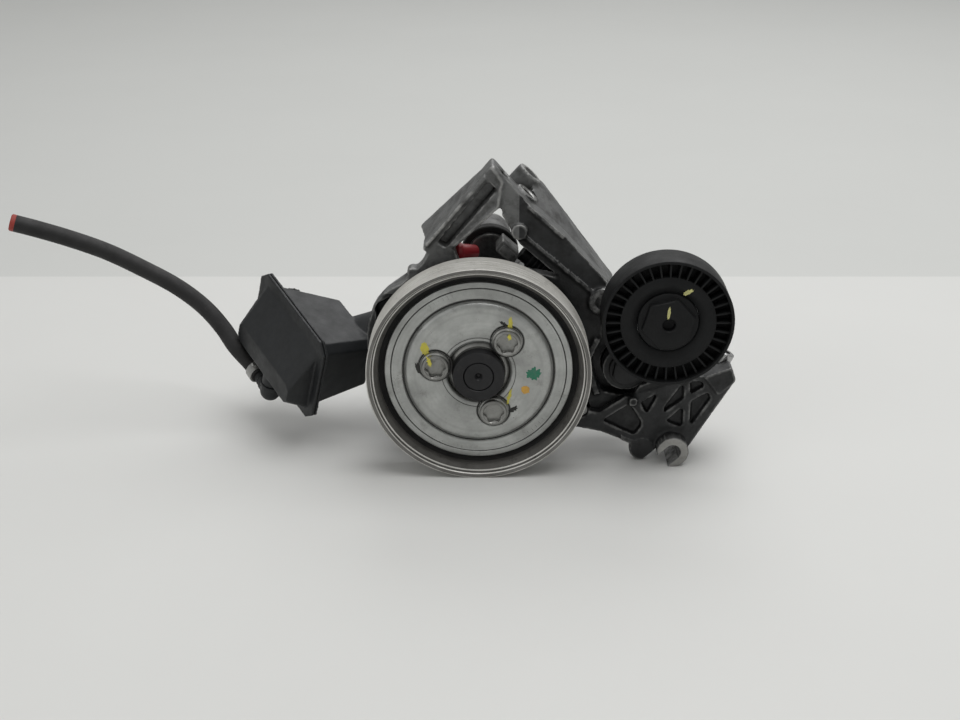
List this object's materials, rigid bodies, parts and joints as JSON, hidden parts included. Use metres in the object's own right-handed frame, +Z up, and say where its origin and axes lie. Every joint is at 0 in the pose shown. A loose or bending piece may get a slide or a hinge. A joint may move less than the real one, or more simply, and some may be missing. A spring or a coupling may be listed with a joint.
{
  "type": "power steering pump assembly",
  "caption": "Belt-driven vane pump with a three-screw belt pulley on cast brackets, a sprung belt tensioner with a ribbed idler, and a black fluid reservoir with its hose.",
  "frame": {"origin": "centre of the assembly's footprint on the surface that it stands on, without the hose and what is on it", "axes": "+X from the reservoir towards the tensioner, +Y along the pump shaft from the pulley to the rear cover, +Z up"},
  "size_m": [0.3863, 0.107, 0.1588],
  "materials": {
    "cast_aluminium": "sand-cast, grimy satin",
    "cast_dark": "sand-cast, dark oily film",
    "zinc_plated": "bright plated, light stains",
    "worn_steel": "worn grey steel",
    "machined_steel": "ground",
    "black_steel": "phosphated black",
    "black_plastic": "glass-filled nylon, matte",
    "reservoir_plastic": "moulded polyamide, matte",
    "rubber": "matte",
    "red_plastic": "moulded"
  },
  "bodies": {
    "pump_group": {"pump_housing": "cast_aluminium", "rear_cover": "cast_aluminium", "cover_bolt_1": "machined_steel", "cover_bolt_2": "machined_steel", "cover_bolt_3": "machined_steel", "cover_bolt_4": "machined_steel", "pump_bolt_1": "machined_steel", "pump_bolt_2": "machined_steel", "pump_bolt_3": "machined_steel", "bearing_outer_race": "machined_steel", "shaft_seal": "rubber", "front_pressure_plate": "machined_steel", "cam_ring": "machined_steel", "rear_pressure_plate": "machined_steel", "valve_plug": "machined_steel", "outlet_block": "cast_aluminium", "outlet_pipe": "rubber", "valve_band": "rubber", "transport_plug": "red_plastic", "main_bracket": "cast_aluminium", "side_bracket": "cast_dark", "bracket_bolt_1": "machined_steel", "bracket_bolt_2": "machined_steel", "dowel_bush": "machined_steel", "tensioner_case": "cast_dark", "tensioner_spring": "machined_steel", "tensioner_pivot_bolt": "black_steel", "reservoir_front": "reservoir_plastic", "reservoir_rear": "reservoir_plastic", "hose_elbow": "black_plastic", "hose": "rubber", "hose_clamp": "machined_steel", "hose_end_plug": "red_plastic"},
    "pulley_and_rotor": {"pulley_rim": "worn_steel", "pulley_rubber_ring": "rubber", "pulley_disc": "zinc_plated", "pulley_hub": "black_steel", "pump_shaft": "black_steel", "pulley_screw_1": "zinc_plated", "pulley_screw_2": "zinc_plated", "pulley_screw_3": "zinc_plated", "bearing_inner_race": "machined_steel", "pump_rotor": "machined_steel", "vane_1": "machined_steel", "vane_2": "machined_steel", "vane_3": "machined_steel", "vane_4": "machined_steel", "vane_5": "machined_steel", "vane_6": "machined_steel", "vane_7": "machined_steel", "vane_8": "machined_steel"},
    "tensioner_arm_body": {"tensioner_arm": "cast_dark", "idler_bolt": "black_steel", "idler_inner_race": "machined_steel"},
    "idler": {"idler_pulley": "black_plastic", "idler_outer_race": "machined_steel"},
    "shaft_bearing_cage": {"bearing_ball_cage": "machined_steel"},
    "idler_bearing_cage": {"idler_ball_cage": "machined_steel"},
    "flow_spool": {"valve_spool": "machined_steel"},
    "filler_cap": {"reservoir_cap": "black_plastic"}
  },
  "joints": [
    {"name": "pulley_spin", "type": "hinge", "parent": "pump_group", "child": "pulley_and_rotor", "pos_m": [-0.00132, -0.0123, 0.057], "axis": [0, 1, 0], "continuous": true},
    {"name": "shaft_bearing_roll", "type": "hinge", "parent": "pump_group", "child": "shaft_bearing_cage", "pos_m": [-0.00132, -0.0183, 0.057], "axis": [0, 1, 0], "continuous": true},
    {"name": "tensioner_swing", "type": "hinge", "parent": "pump_group", "child": "tensioner_arm_body", "pos_m": [0.07518, -0.0223, 0.05], "axis": [0, 1, 0], "range_deg": [0, 18], "stiffness_Nm_per_rad": 5, "springref_deg": -34.38},
    {"name": "idler_spin", "type": "hinge", "parent": "tensioner_arm_body", "child": "idler", "pos_m": [0.09328, -0.0403, 0.0847], "axis": [0, 1, 0], "continuous": true},
    {"name": "idler_bearing_roll", "type": "hinge", "parent": "tensioner_arm_body", "child": "idler_bearing_cage", "pos_m": [0.09328, -0.0403, 0.0847], "axis": [0, 1, 0], "continuous": true},
    {"name": "flow_spool_slide", "type": "slide", "parent": "pump_group", "child": "flow_spool", "axis": [0, 1, 0], "range_m": [-0.006, 0], "stiffness_N_per_m": 600, "springref_m": 0.006},
    {"name": "filler_cap_turn", "type": "hinge", "parent": "pump_group", "child": "filler_cap", "pos_m": [-0.09933, 0.02689, 0.05055], "axis": [-0.5309, 0.7648, 0.3649], "range_deg": [0, 90]}
  ],
  "couplings": [
    {"joint": "shaft_bearing_roll", "follows": "pulley_spin", "ratio": 0.4012},
    {"joint": "idler_bearing_roll", "follows": "idler_spin", "ratio": 0.5988}
  ]
}
